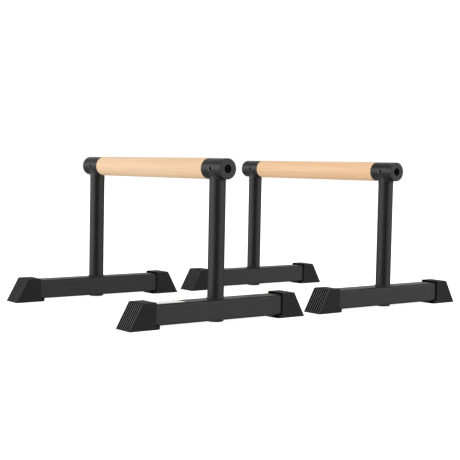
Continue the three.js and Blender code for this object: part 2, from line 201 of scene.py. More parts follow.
def ring_faces(rings, closed):
    """Quads between rings of vertex numbers; closed joins the last to the first."""
    faces = []
    for k in range(len(rings) if closed else len(rings) - 1):
        low, high = rings[k], rings[(k + 1) % len(rings)]
        for i in range(len(low)):
            j = (i + 1) % len(low)
            quad = list(dict.fromkeys((low[i], low[j], high[j], high[i])))
            if len(quad) > 2:
                faces.append(quad)
    return faces


def turned(name, outline, closed, steps=ROUND_STEPS):
    """Revolves (radius, height) points about Z."""
    verts, rings = [], []
    for radius, height in outline:
        first = len(verts)
        count = 1 if radius == 0 else steps
        for i in range(count):
            angle = TURN * i / steps
            verts.append((radius * math.cos(angle), radius * math.sin(angle), height))
        rings.append([first + i % count for i in range(steps)])
    return new_mesh(name, verts, ring_faces(rings, closed))


def prism(name, outline, low, high, axes):
    """Extrudes an outline; axes maps (outline x, outline y, depth) to space."""
    count = len(outline)
    verts = []
    for depth in (low, high):
        verts += [axes @ Vector((p[0], p[1], depth)) for p in outline]
    faces = [list(range(count)), list(range(count, 2 * count))]
    faces += [(i, (i + 1) % count, count + (i + 1) % count, count + i) for i in range(count)]
    return new_mesh(name, verts, faces)


def frame_of(x_to, y_to, depth_to):
    """Matrix whose columns are where the outline's x, y and depth go."""
    return Matrix((x_to, y_to, depth_to)).transposed()


ALONG_X = frame_of((0, 1, 0), (0, 0, 1), (1, 0, 0))
ALONG_Y = frame_of((1, 0, 0), (0, 0, 1), (0, -1, 0))
ALONG_Z = frame_of((1, 0, 0), (0, 1, 0), (0, 0, 1))
TO_X = Matrix.Rotation(math.pi / 2, 4, "Y")
TO_PLUS_Y = Matrix.Rotation(-math.pi / 2, 4, "X")
TO_MINUS_Y = Matrix.Rotation(math.pi / 2, 4, "X")


def moved(mesh, matrix):
    mesh.transform(matrix)
    mesh.update()
    return mesh


def at(x, y, z):
    return Matrix.Translation(Vector((x, y, z)) * MM)


def temporary(mesh):
    obj = bpy.data.objects.new("work", mesh)
    bpy.context.scene.collection.objects.link(obj)
    return obj


def evaluated(obj):
    """The object's mesh with its modifiers applied; the object is then removed."""
    graph = bpy.context.evaluated_depsgraph_get()
    mesh = bpy.data.meshes.new_from_object(obj.evaluated_get(graph))
    bpy.data.objects.remove(obj)
    return mesh


def carved(mesh, cutter, operation="DIFFERENCE"):
    """Closed mesh with a closed cutter taken out of it, or trimmed to it by INTERSECT."""
    body, tool = temporary(mesh), temporary(cutter)
    cut = body.modifiers.new("cut", "BOOLEAN")
    cut.operation = operation
    cut.solver = "EXACT"
    cut.object = tool
    result = evaluated(body)
    bpy.data.objects.remove(tool)
    return result


def eased(mesh, width, steps, angle):
    """Rounds every edge sharper than angle, in degrees."""
    obj = temporary(mesh)
    bevel = obj.modifiers.new("ease", "BEVEL")
    bevel.width = width * MM
    bevel.segments = steps
    bevel.limit_method = "ANGLE"
    bevel.angle_limit = math.radians(angle)
    bevel.harden_normals = False
    return evaluated(obj)


def mark_edges(mesh, limit):
    """Face attribute that is 1 on the narrow strips that round an edge."""
    wear = mesh.attributes.new("edge_strip", "FLOAT", "FACE")
    for face in mesh.polygons:
        ring = [mesh.vertices[i].co for i in face.vertices]
        around = sum((a - b).length for a, b in zip(ring, ring[1:] + ring[:1]))
        width = 2 * face.area / around
        wear.data[face.index].value = float(width < limit * MM)


def smooth(mesh, angle, strip=EDGE_STRIP):
    """Smooth shading with sharp edges kept, weighted by face size."""
    mark_edges(mesh, strip)
    for face in mesh.polygons:
        face.use_smooth = True
    mesh.set_sharp_from_angle(angle=math.radians(angle))
    obj = temporary(mesh)
    weigh = obj.modifiers.new("weigh", "WEIGHTED_NORMAL")
    weigh.keep_sharp = True
    weigh.weight = LARGE_FACE_WEIGHT
    return evaluated(obj)


# ---------------------------------------------------------------- materials
class Tree:
    """Short-hand for building a node tree."""

    def __init__(self, tree):
        self.tree = tree
        tree.nodes.clear()

    def add(self, kind, **settings):
        node = self.tree.nodes.new(kind)
        for key, value in settings.items():
            setattr(node, key, value)
        return node

    def join(self, source, target):
        self.tree.links.new(source, target)

    def feed(self, socket, value):
        """Gives a socket a number or a colour, or joins an output to it."""
        if isinstance(value, (int, float)):
            socket.default_value = value
        elif isinstance(value, tuple):
            socket.default_value = (*value, 1)
        else:
            self.join(value, socket)

    def maths(self, operation, a, b=None):
        node = self.add("ShaderNodeMath", operation=operation)
        self.feed(node.inputs[0], a)
        if b is not None:
            self.feed(node.inputs[1], b)
        return node.outputs[0]

    def span(self, source, low, high, to_low=0, to_high=1, kind="LINEAR"):
        """Maps low..high to to_low..to_high, and holds the ends."""
        node = self.add("ShaderNodeMapRange", interpolation_type=kind)
        for socket, value in zip(node.inputs, (source, low, high, to_low, to_high)):
            self.feed(socket, value)
        return node.outputs[0]


class Nodes(Tree):
    """Node tree of one material: a principled surface and its textures."""

    def __init__(self, name):
        self.material = bpy.data.materials.new(name)
        self.material.use_nodes = True
        super().__init__(self.material.node_tree)
        out = self.add("ShaderNodeOutputMaterial")
        self.bsdf = self.add("ShaderNodeBsdfPrincipled")
        self.join(self.bsdf.outputs[0], out.inputs[0])
        self.place = self.add("ShaderNodeTexCoord").outputs["Object"]

    def stretch(self, scale, shift=(0, 0, 0)):
        """Object coordinates, scaled along each axis and moved."""
        node = self.add("ShaderNodeMapping")
        node.inputs["Scale"].default_value = scale
        node.inputs["Location"].default_value = shift
        self.join(self.place, node.inputs["Vector"])
        return node.outputs[0]

    def noise(self, scale, detail=2, rough=0.5, vector=None):
        node = self.add("ShaderNodeTexNoise")
        node.inputs["Scale"].default_value = scale
        node.inputs["Detail"].default_value = detail
        node.inputs["Roughness"].default_value = rough
        self.join(vector or self.place, node.inputs["Vector"])
        return node.outputs["Fac"]

    def spots(self, scale, vector=None):
        """Distance from the nearest of many scattered points."""
        node = self.add("ShaderNodeTexVoronoi")
        node.inputs["Scale"].default_value = scale
        self.join(vector or self.place, node.inputs["Vector"])
        return node.outputs["Distance"]

    def blend(self, factor, a, b, mode="MIX"):
        """Colour a where factor is 0, b where it is 1."""
        node = self.add("ShaderNodeMix", data_type="RGBA", blend_type=mode)
        for socket, value in zip((node.inputs[0], node.inputs[6], node.inputs[7]), (factor, a, b)):
            self.feed(socket, value)
        return node.outputs[2]

    def bump(self, height, strength, distance, under=None):
        """Surface normal disturbed by height, on top of another bump."""
        node = self.add("ShaderNodeBump")
        node.inputs["Strength"].default_value = strength
        node.inputs["Distance"].default_value = distance
        self.join(height, node.inputs["Height"])
        if under is not None:
            self.join(under, node.inputs["Normal"])
        return node.outputs[0]

    def facing_up(self):
        """0 on sides and undersides, 1 on level tops."""
        geometry = self.add("ShaderNodeNewGeometry")
        parts = self.add("ShaderNodeSeparateXYZ")
        self.join(geometry.outputs["Normal"], parts.inputs[0])
        return self.span(parts.outputs["Z"], 0.55, 1.0)

    def marked(self, name="edge_strip"):
        """A face attribute that the mesh code wrote."""
        node = self.add("ShaderNodeAttribute", attribute_name=name)
        return node.outputs["Fac"]

    def finish(self, color, roughness, normal=None, metallic=0.0, specular=0.5):
        self.join(color, self.bsdf.inputs["Base Color"])
        self.join(roughness, self.bsdf.inputs["Roughness"])
        if normal is not None:
            self.join(normal, self.bsdf.inputs["Normal"])
        self.bsdf.inputs["Metallic"].default_value = metallic
        self.bsdf.inputs["Specular IOR Level"].default_value = specular
        return self.material


def powder_coat():
    n = Nodes("powder_coat_black")
    grit = n.noise(1500, 2, 0.6)
    mottle = n.noise(260, 3, 0.6)
    color = n.blend(n.span(mottle, 0.35, 0.65), (0.0062, 0.0063, 0.0067), (0.0084, 0.0085, 0.009))
    color = n.blend(n.span(grit, 0.58, 0.74, 0, 0.6), color, (0.035, 0.035, 0.037))
    rub = n.maths("MULTIPLY", n.marked(), n.span(n.noise(55, 4), 0.45, 0.7, 0.05, 0.5))
    color = n.blend(rub, color, (0.05, 0.049, 0.048))
    # Countersink rims lighter: chipped paint and a painted glint of bare metal.
    chip_and_glint = n.maths("MULTIPLY", n.marked("hole_rim"), n.span(n.noise(420, 2), 0.4, 0.6, 0.25, 1.0))
    color = n.blend(chip_and_glint, color, (0.3, 0.3, 0.31))
    dust = n.maths("MULTIPLY", n.facing_up(), n.span(n.noise(70, 4), 0.3, 0.8, 0.04, 0.14))
    color = n.blend(dust, color, (0.17, 0.165, 0.16))
    roughness = n.span(mottle, 0.35, 0.65, 0.31, 0.48)
    peel = n.bump(n.noise(480, 1), 0.35, 0.0002, n.bump(mottle, 0.35, 0.0006))
    coarse = n.bump(n.spots(1000), 0.2, 0.0001, peel)
    return n.finish(color, roughness, n.bump(grit, 0.35, 0.00007, coarse), specular=0.5)


def beech():
    n = Nodes("beech_pale")
    warp = n.noise(3.0, 2, 0.5, n.stretch((0.9, 5, 5)))
    # Growth rings about a pith line beside the bar, so they run out as long arches.
    pith = n.stretch((0.035, 1, 1), shift=(0, 0.19, -0.37))
    rings = n.add("ShaderNodeVectorMath", operation="LENGTH")
    n.join(pith, rings.inputs[0])
    phase = n.maths("ADD", rings.outputs["Value"], n.maths("MULTIPLY", warp, 0.016))
    wave = n.maths("SINE", n.maths("MULTIPLY", phase, TURN / 0.0042))
    ring = n.span(wave, -0.2, 1.0)
    fibre = n.noise(1.0, 3, 0.62, n.stretch((16, 620, 620)))
    streak = n.noise(1.0, 3, 0.55, n.stretch((3.2, 95, 95)))
    color = n.blend(n.span(streak, 0.3, 0.7), (0.735, 0.5, 0.3), (0.795, 0.57, 0.37))
    color = n.blend(n.maths("MULTIPLY", ring, 0.34), color, (0.69, 0.45, 0.255))
    color = n.blend(n.span(fibre, 0.5, 0.72, 0, 0.28), color, (0.60, 0.38, 0.21))
    # Short dark rays lie with the grain.
    rays = n.spots(1.0, n.stretch((150, 1150, 1150)))
    some = n.span(n.noise(300), 0.45, 0.6)
    fleck = n.maths("MULTIPLY", n.span(rays, 0.2, 0.08), some)
    color = n.blend(n.maths("MULTIPLY", fleck, 0.5), color, (0.5, 0.29, 0.15))
    # The left unit's bar is cut from a slightly redder board.
    sides = n.add("ShaderNodeSeparateXYZ")
    n.join(n.place, sides.inputs[0])
    redder = n.span(sides.outputs["Y"], -0.05, 0.05)
    color = n.blend(redder, color, n.blend(1.0, color, (1.0, 0.925, 0.855), "MULTIPLY"))
    roughness = n.span(fibre, 0.3, 0.7, 0.40, 0.52)
    pores = n.bump(fibre, 0.35, 0.00012)
    return n.finish(color, roughness, n.bump(fleck, 0.25, -0.00006, pores), specular=0.4)


def foot_rubber():
    n = Nodes("rubber_black")
    cloud = n.noise(60, 3)
    color = n.blend(n.span(cloud, 0.3, 0.7), (0.0055, 0.0055, 0.0059), (0.0075, 0.0075, 0.0079))
    # Edge strips lighter: scuffs and a painted edge highlight.
    scuff_and_edge_highlight = n.maths("MULTIPLY", n.marked(), n.span(n.noise(140, 3), 0.35, 0.7, 0.1, 0.5))
    color = n.blend(scuff_and_edge_highlight, color, (0.04, 0.04, 0.04))
    # Rib tops lighter: a painted highlight.
    painted_rib_highlight = n.maths("MULTIPLY", n.marked("rib_top"), n.span(n.noise(180, 3), 0.3, 0.7, 0.7, 1.0))
    color = n.blend(painted_rib_highlight, color, (0.1, 0.1, 0.1))
    # Grooves, the mouth's rim and its lip nearly black and fully rough: painted shade.
    color = n.blend(n.marked("painted_groove_shade"), color, (0.0008, 0.0008, 0.0008))
    dust = n.maths("MULTIPLY", n.facing_up(), n.span(n.noise(60, 4), 0.4, 0.8, 0, 0.12))
    color = n.blend(dust, color, (0.13, 0.125, 0.12))
    roughness = n.span(n.noise(220, 2), 0.3, 0.7, 0.5, 0.62)
    roughness = n.maths("MAXIMUM", roughness, n.marked("painted_groove_shade"))
    skin = n.bump(n.noise(1900, 2), 0.3, 0.00007)
    return n.finish(color, roughness, n.bump(n.noise(160, 2), 0.12, 0.0002, skin), specular=0.27)


def plug_plastic():
    n = Nodes("plastic_black")
    color = n.blend(n.span(n.noise(60, 2), 0.3, 0.7), (0.005, 0.005, 0.0055), (0.009, 0.009, 0.0095))
    roughness = n.span(n.noise(300, 2), 0.3, 0.7, 0.42, 0.58)
    return n.finish(color, roughness, n.bump(n.noise(2200, 1), 0.25, 0.00005), specular=0.2)


def fastener_steel():
    n = Nodes("steel_black_oxide")
    patch = n.span(n.noise(700, 3), 0.4, 0.65)
    color = n.blend(patch, (0.003, 0.003, 0.0034), (0.007, 0.007, 0.0068))
    # Edge strips lighter: a painted glint.
    color = n.blend(n.maths("MULTIPLY", n.marked(), 0.3), color, (0.14, 0.137, 0.134))
    roughness = n.span(n.noise(900, 2), 0.3, 0.7, 0.26, 0.4)
    lines = n.noise(1.0, 2, 0.5, n.stretch((400, 4000, 4000)))
    return n.finish(color, roughness, n.bump(lines, 0.2, 0.00003), metallic=1.0)


def insert_brass():
    n = Nodes("brass_plain")
    color = n.blend(n.span(n.noise(400, 3), 0.3, 0.7), (0.46, 0.31, 0.11), (0.66, 0.47, 0.2))
    roughness = n.span(n.noise(800, 2), 0.3, 0.7, 0.28, 0.45)
    return n.finish(color, roughness, n.bump(n.noise(2500, 1), 0.2, 0.00003), metallic=1.0)


def label_film():
    n = Nodes("label_white")
    color = n.blend(n.span(n.noise(45, 3), 0.35, 0.7), (0.86, 0.86, 0.85), (0.8, 0.8, 0.785))
    rub = n.maths("MULTIPLY", n.span(n.noise(260, 4, 0.7), 0.6, 0.75, 0, 0.5), 0.6)
    color = n.blend(rub, color, (0.62, 0.61, 0.59))
    roughness = n.span(n.noise(120, 2), 0.3, 0.7, 0.34, 0.5)
    return n.finish(color, roughness, n.bump(n.noise(900, 2), 0.15, 0.00004), specular=0.5)


FINISH = {
    "black_powder_coat": powder_coat(),
    "beech": beech(),
    "foot_rubber": foot_rubber(),
    "plug_plastic": plug_plastic(),
    "fastener_steel": fastener_steel(),
    "insert_brass": insert_brass(),
    "label_film": label_film(),
}
SLOT_OF = {part["node"]: part["material_slot"] for part in frame["record"]["subparts"]}


# ---------------------------------------------------------------- measures
def box_mm(node):
    low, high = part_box(node)
    return low / MM, high / MM


def post_place(stem):
    """Centre of a post on the floor, and 1 or -1 for the way outboard along X."""
    low, high = box_mm(f"{stem}_post")
    x, y = (low.x + high.x) / 2, (low.y + high.y) / 2
    return x, y, (1 if x > 0 else -1)


SAMPLE = "right_front"
post_x, post_y, _ = post_place(SAMPLE)
collar_low, collar_high = box_mm(f"{SAMPLE}_collar")
base_low, base_high = box_mm(f"{SAMPLE}_base_tube")
foot_low, foot_high = box_mm(f"{SAMPLE}_outer_foot")
post_low, post_high = box_mm(f"{SAMPLE}_post")
plug_low, plug_high = box_mm(f"{SAMPLE}_post_plug")
bolt_low, bolt_high = box_mm(f"{SAMPLE}_bar_bolt")
washer_low, washer_high = box_mm(f"{SAMPLE}_bolt_washer")
screw_low, _ = box_mm(f"{SAMPLE}_outer_set_screw")
wood_low, wood_high = box_mm("right_wood_bar")
label_low, label_high = box_mm("right_front_label")

BAR_Z = (collar_low.z + collar_high.z) / 2
COLLAR_R = (collar_high.z - collar_low.z) / 2
COLLAR_IN = collar_low.x - post_x
COLLAR_OUT = collar_high.x - post_x
POST_R = (post_high.x - post_low.x) / 2
BASE_SIZE = base_high.z - base_low.z
BASE_HALF = (base_high.y - base_low.y) / 2
BASE_MID_Z = (base_high.z + base_low.z) / 2
FOOT_WIDTH = foot_high.x - foot_low.x
FOOT_TOP = foot_high.z
FOOT_TIP = post_y - foot_low.y
FOOT_TONGUE = post_y - foot_high.y
BAR_R = (wood_high.z - wood_low.z) / 2
TENON_END = wood_high.x - post_x


# ---------------------------------------------------------------- end frame pieces
def collar_mesh():
    """Collar open inboard, with the bolt's recess and two countersunk side holes."""
    outline = rounded([
        (COLLAR_BORE_R, COLLAR_IN, 0.4), (COLLAR_R, COLLAR_IN, 0.9),
        (COLLAR_R, COLLAR_OUT, 1.0), (RECESS_R, COLLAR_OUT, 0.5),
        (RECESS_R, RECESS_FLOOR, 0.3), (BOLT_HOLE_R, RECESS_FLOOR, 0.3),
        (BOLT_HOLE_R, COLLAR_BORE_END, 0.3), (COLLAR_BORE_R, COLLAR_BORE_END, 0.3),
    ])
    mesh = moved(turned("collar", outline, True), at(0, 0, BAR_Z) @ TO_X)
    rim = SET_SCREW_HOLE_R + COUNTERSINK
    drill = [
        (0, COLLAR_BORE_R - OVERCUT), (SET_SCREW_HOLE_R, COLLAR_BORE_R - OVERCUT),
        (SET_SCREW_HOLE_R, COLLAR_R - 0.8), (rim, COLLAR_R + 0.1),
        (rim, COLLAR_R + OVERCUT), (0, COLLAR_R + OVERCUT),
    ]
    for side in (TO_PLUS_Y, TO_MINUS_Y):
        tool = moved(turned("drill", drill, False, 40), at(0, 0, BAR_Z) @ side)
        mesh = carved(mesh, tool)
    return mark_hole_rims(smooth(mesh, 30))


def mark_hole_rims(mesh):
    """Face attribute on the countersinks round the set screw holes, where the coat is painted lighter:
    chipped paint and a painted glint.
    """
    rims = mesh.attributes.new("hole_rim", "FLOAT", "FACE")
    for face in mesh.polygons:
        middle = face.center / MM
        off = math.hypot(middle.x, middle.z - BAR_Z)
        sunk = SET_SCREW_HOLE_R < off < SET_SCREW_HOLE_R + RIM_REACH and abs(face.normal.y) < 0.9
        rims.data[face.index].value = float(sunk and abs(middle.y) > COLLAR_R - RIM_DEPTH)
    return mesh


def saddle(radius, angle):
    """Height of the collar's underside at a point round the post."""
    across = radius * math.sin(angle)
    return BAR_Z - math.sqrt(max(COLLAR_R ** 2 - across ** 2, 0))


def post_mesh():
    """Hollow post, its top coped to the collar."""
    verts, rings = [], []
    for radius, top in ((POST_R, False), (POST_R, True), (POST_BORE_R, True), (POST_BORE_R, False)):
        rings.append(list(range(len(verts), len(verts) + ROUND_STEPS)))
        for i in range(ROUND_STEPS):
            angle = TURN * i / ROUND_STEPS
            z = saddle(radius, angle) - WELD_LAP if top else post_low.z
            verts.append((radius * math.cos(angle), radius * math.sin(angle), z))
    return smooth(new_mesh("post", verts, ring_faces(rings, True)), 30)


def ripple(angle, across):
    """Crescent ripples left along a weld bead, from -1 to 1; slow waves make them uneven."""
    wander = 0.35 * math.sin(3 * angle + 0.7) + 0.2 * math.sin(7 * angle)
    return math.sin(WELD_RIPPLES * angle + wander - 1.6 * across * across)


def bead_ring(name, low_point, high_point, core, bulge):
    """Closed bead whose face bulges from low_point(angle) to high_point(angle)."""
    verts, rings = [], [[] for _ in range(WELD_FACE_STEPS + 2)]
    for i in range(WELD_STEPS):
        angle = TURN * i / WELD_STEPS
        low, high, inner = low_point(angle), high_point(angle), core(angle)
        chord = high - low
        out = Vector((chord.y, -chord.x)).normalized()
        lift = bulge * (1 + 0.1 * math.sin(5 * angle + 1.1))
        section = []
        for k in range(WELD_FACE_STEPS + 1):
            t = k / WELD_FACE_STEPS
            dome = 4 * t * (1 - t)
            swell = lift * dome ** 0.8
            swell += RIPPLE_HEIGHT * ripple(angle, 2 * t - 1) * dome ** 0.5
            section.append(low + chord * t + out * swell)
        section.append(inner)
        for k, (radius, z) in enumerate(section):
            rings[k].append(len(verts))
            verts.append((radius * math.cos(angle), radius * math.sin(angle), z))
    return new_mesh(name, verts, ring_faces(rings, True))


def collar_weld_mesh():
    """Bead round the post's coped top, up against the collar."""
    def low(angle):
        return Vector((POST_R - WELD_LAP, saddle(POST_R, angle) - COLLAR_WELD_DROP))

    def high(angle):
        radius = POST_R + COLLAR_WELD_REACH
        return Vector((radius, saddle(radius, angle) + WELD_LAP))

    def core(angle):
        return Vector((POST_R - WELD_LAP, saddle(POST_R, angle) + COLLAR_WELD_HEEL))

    return smooth(bead_ring("collar_weld", low, high, core, COLLAR_WELD_BULGE), 60)


def base_surface(x):
    """Height of the base tube's outside at a distance across it."""
    over = max(abs(x) - (BASE_SIZE / 2 - BASE_CORNER_R), 0)
    return base_high.z - BASE_CORNER_R + math.sqrt(max(BASE_CORNER_R ** 2 - over ** 2, 0))


def base_weld_mesh():
    """Bead round the foot of the post, down over the base tube's rounded edges."""
    def low(angle):
        radius = POST_R + BASE_WELD_SIZE
        return Vector((radius, base_surface(radius * math.cos(angle)) - WELD_LAP))

    def high(angle):
        return Vector((POST_R - WELD_LAP, base_high.z + BASE_WELD_SIZE))

    def core(angle):
        return Vector((POST_R - WELD_LAP, base_surface(POST_R * math.cos(angle)) - WELD_LAP))

    return smooth(bead_ring("base_weld", low, high, core, BASE_WELD_BULGE), 60)


def rounded_oblong(width, length, radius, steps):
    x, y = width / 2, length / 2
    corners = [(x, y, radius), (-x, y, radius), (-x, -y, radius), (x, -y, radius)]
    return rounded(corners, True, steps)


def base_tube_mesh():
    """Square tube with a hole for the post above and one for the plug below."""
    shell = rounded_oblong(BASE_SIZE, BASE_SIZE, BASE_CORNER_R, 10)
    mesh = prism("base", shell, -BASE_HALF, BASE_HALF, ALONG_Y)
    bore = BASE_SIZE - 2 * BASE_WALL
    inside = rounded_oblong(bore, bore, BASE_CORNER_R - BASE_WALL, 4)
    through = BASE_HALF + BORE_OVERCUT
    mesh = carved(mesh, prism("bore", inside, -through, through, ALONG_Y))
    post_hole_r = POST_R + POST_HOLE_GAP
    hole = [(0, 0), (post_hole_r, 0), (post_hole_r, BASE_SIZE), (0, BASE_SIZE)]
    mesh = carved(mesh, turned("post_hole", hole, False, 64))
    hole = [(0, -BASE_SIZE), (PLUG_HOLE_R, -BASE_SIZE), (PLUG_HOLE_R, 0), (0, 0)]
    mesh = carved(mesh, turned("plug_hole", hole, False, 48))
    mesh = eased(mesh, 0.3, 1, 60)
    return moved(smooth(mesh, 30), at(0, 0, BASE_MID_Z))


def foot_mesh():
    """Slip-on foot on the +Y end of a tube: body, sleeve and ribs."""
    under = base_low.z
    side = rounded([
        (FOOT_TONGUE, 0, 3.8), (FOOT_TIP, 0, 0.7), (FOOT_SHOULDER, FOOT_TOP, 1.4),
        (FOOT_MOUTH, FOOT_TOP, 0.9), (FOOT_MOUTH, under, 0.5), (FOOT_TONGUE, under, 0.8),
    ])
    half = FOOT_WIDTH / 2
    mesh = prism("foot", side, -half, half, ALONG_X)
    end = rounded([
        (-half, -TRIM_MARGIN, 0), (half, -TRIM_MARGIN, 0),
        (half, FOOT_TOP, FOOT_TOP_ROUND), (-half, FOOT_TOP, FOOT_TOP_ROUND),
    ], True, 8)
    mesh = carved(mesh, prism("end_trim", end, -TRIM_LENGTH, TRIM_LENGTH, ALONG_Y), "INTERSECT")
    plan = rounded([
        (-half, FOOT_TIP + TRIM_MARGIN, 0), (half, FOOT_TIP + TRIM_MARGIN, 0),
        (half, FOOT_TONGUE, TONGUE_ROUND), (-half, FOOT_TONGUE, TONGUE_ROUND),
    ], True, 10)
    mesh = carved(mesh, prism("plan_trim", plan, TRIM_LOW, TRIM_HIGH, ALONG_Z), "INTERSECT")
    hollow = BASE_SIZE + 2 * SLEEVE_GAP
    sleeve = rounded_oblong(hollow, hollow, BASE_CORNER_R + SLEEVE_GAP, 8)
    reach = BASE_HALF + SLEEVE_END_GAP
    tool = prism("sleeve", sleeve, -reach, reach, ALONG_Y)
    mesh = carved(mesh, moved(tool, at(0, 0, BASE_MID_Z + SLEEVE_GAP)))
    wide, high = BASE_SIZE / 2 + LIP_GAP, base_high.z + LIP_GAP
    lip = rounded([
        (wide, high, BASE_CORNER_R), (-wide, high, BASE_CORNER_R), (-wide, under, 0), (wide, under, 0),
    ], True, 8)
    mesh = carved(mesh, prism("lip", lip, -FOOT_MOUTH - LIP_DEPTH, LIP_OVERCUT - FOOT_MOUTH, ALONG_Y))
    slope = (FOOT_SHOULDER - FOOT_TIP) / FOOT_TOP
    depth = GROOVE_DEPTH * math.hypot(1, slope)
    low, high = -OVERCUT, FOOT_TOP + OVERCUT
    low_tip, high_tip = FOOT_TIP + slope * low, FOOT_TIP + slope * high
    pitch = (FOOT_WIDTH + GROOVE_WIDTH) / FOOT_RIBS
    for k in range(1, FOOT_RIBS):
        x = (k - FOOT_RIBS / 2) * pitch
        slot = [
            (low_tip - depth, low), (low_tip + GROOVE_OVERCUT, low),
            (high_tip + GROOVE_OVERCUT, high), (high_tip - depth, high),
        ]
        tool = prism("groove", slot, x - GROOVE_WIDTH / 2, x + GROOVE_WIDTH / 2, ALONG_X)
        mesh = carved(mesh, tool)
    mesh = smooth(eased(mesh, 0.5, 3, 42), 50)
    return mark_ribs(mesh, slope)


def is_outside(point):
    """On the sleeve's outer faces rather than in its mouth."""
    on_side = abs(point.x) > FOOT_WIDTH / 2 - SKIN
    return on_side or point.z > FOOT_TOP - SKIN or point.z < base_low.z - SKIN


def mark_ribs(mesh, slope):
    """Face attributes for the rib tops, which get a painted highlight, and for the grooves and the
    mouth, which get painted shade.
    """
    tops = mesh.attributes.new("rib_top", "FLOAT", "FACE")
    shaded_faces = mesh.attributes.new("painted_groove_shade", "FLOAT", "FACE")
    across = math.hypot(1, slope)
    for face in mesh.polygons:
        middle = face.center / MM
        depth = (FOOT_TIP + slope * middle.z - middle.y) / across
        outward = face.normal.y - slope * face.normal.z
        on_end = depth < GROOVE_DEPTH + 0.5 and 1.2 < middle.z < FOOT_TOP - 1
        tops.data[face.index].value = float(on_end and depth < RIB_TOP_DEPTH and outward > 0.6)
        # The mouth's rim and lip join the grooves in painted shade.
        at_rim = face.normal.y < -0.6 and middle.y < FOOT_MOUTH + 1
        in_lip = FOOT_MOUTH - 1 < middle.y < FOOT_MOUTH + LIP_DEPTH + 1 and not is_outside(middle)
        shaded_faces.data[face.index].value = float((on_end and depth > SHADE_DEPTH) or at_rim or in_lip)
    return mesh


def plug_mesh():
    """Push-in plug: a round flange under the base tube and a stem up inside it."""
    flange = (plug_high.x - plug_low.x) / 2
    under = base_low.z
    outline = rounded([
        (0, plug_low.z, 0), (flange, plug_low.z, 1.6), (flange, under, 0.3),
        (PLUG_STEM_R, under, 0), (PLUG_STEM_R, plug_high.z, 0.8), (0, plug_high.z, 0),
    ], False, 6)
    return smooth(turned("plug", outline, False, 64), 40)


def hexagon(half_width):
    """Corners of a hexagon, from half its width across flats."""
    reach = half_width / math.cos(math.pi / 6)
    return [Vector((reach * math.cos(TURN * k / 6), reach * math.sin(TURN * k / 6))) for k in range(6)]


def bolt_mesh():
    """Socket cap screw about Z: threaded shank, round head, hex socket."""
    tip, top = bolt_low.x - post_x, bolt_high.x - post_x
    head_r = (bolt_high.z - bolt_low.z) / 2
    seat = top - BOLT_HEAD
    outline = [(0, tip), (BOLT_TIP_R, tip), (BOLT_TIP_SHOULDER_R, tip + 0.8)]
    thread = tip + 1.2
    while thread < seat - BOLT_NECK:
        outline += [
            (BOLT_ROOT_R, thread),
            (BOLT_R, thread + BOLT_PITCH * 0.45),
            (BOLT_R, thread + BOLT_PITCH * 0.6),
        ]
        thread += BOLT_PITCH
    outline += [(BOLT_R, thread + 0.4)]
    head = rounded([
        (BOLT_R, seat - 1, 0), (BOLT_R, seat, 0.2), (head_r, seat, 0.3),
        (head_r, top, 0.7), (3.9, top, 0.2), (3.4, top - 0.5, 0), (0, top - 0.5, 0),
    ], False, 4)
    mesh = turned("bolt", outline + [tuple(p) for p in head], False, 60)
    hexagon_low, hexagon_high = top - BOLT_HEX_DEPTH, top + BORE_OVERCUT
    socket = prism("socket", hexagon(BOLT_HEX_HALF_WIDTH), hexagon_low, hexagon_high, ALONG_Z)
    return moved(smooth(carved(mesh, socket), 30, SCREW_EDGE_STRIP), at(0, 0, BAR_Z) @ TO_X)


def washer_mesh():
    low, high = washer_low.x - post_x, washer_high.x - post_x
    radius = (washer_high.z - washer_low.z) / 2
    outline = rounded([
        (WASHER_BORE_R, low, 0.2), (radius, low, 0.3),
        (radius, high, 0.3), (WASHER_BORE_R, high, 0.2),
    ])
    return moved(smooth(turned("washer", outline, True, 64), 30), at(0, 0, BAR_Z) @ TO_X)


def set_screw_mesh():
    """Grub screw about Z, cup point down."""
    tip, top = SET_SCREW_TIP, post_y - screw_low.y
    outline = [(0, tip + 0.8), (1.9, tip), (2.6, tip), (3.5, tip + 0.9)]
    thread = tip + 1.0
    while thread < top - 1.6:
        outline += [(SET_SCREW_ROOT_R, thread + 0.3), (SET_SCREW_R, thread + 0.8)]
        thread += SET_SCREW_PITCH
    outline += [(SET_SCREW_R, top - 0.4), (SET_SCREW_ROOT_R, top), (2.8, top)]
    outline += [(2.4, top - 0.35), (0, top - 0.35)]
    mesh = turned("set_screw", outline, False, 48)
    hexagon_low, hexagon_high = top - SET_SCREW_HEX_DEPTH, top + BORE_OVERCUT
    socket = prism("socket", hexagon(SET_SCREW_HEX_HALF_WIDTH), hexagon_low, hexagon_high, ALONG_Z)
    return moved(smooth(carved(mesh, socket), 30, SCREW_EDGE_STRIP), at(0, 0, BAR_Z) @ TO_PLUS_Y)


def label_mesh():
    length, width = label_high.y - label_low.y, label_high.x - label_low.x
    thick = label_high.z - label_low.z
    outline = rounded_oblong(width, length, LABEL_CORNER_R, 8)
    mesh = eased(prism("label", outline, 0, thick, ALONG_Z), 0.1, 2, 50)
    middle_y = (label_low.y + label_high.y) / 2 - post_y
    return moved(smooth(mesh, 50), at(0, middle_y, label_low.z))


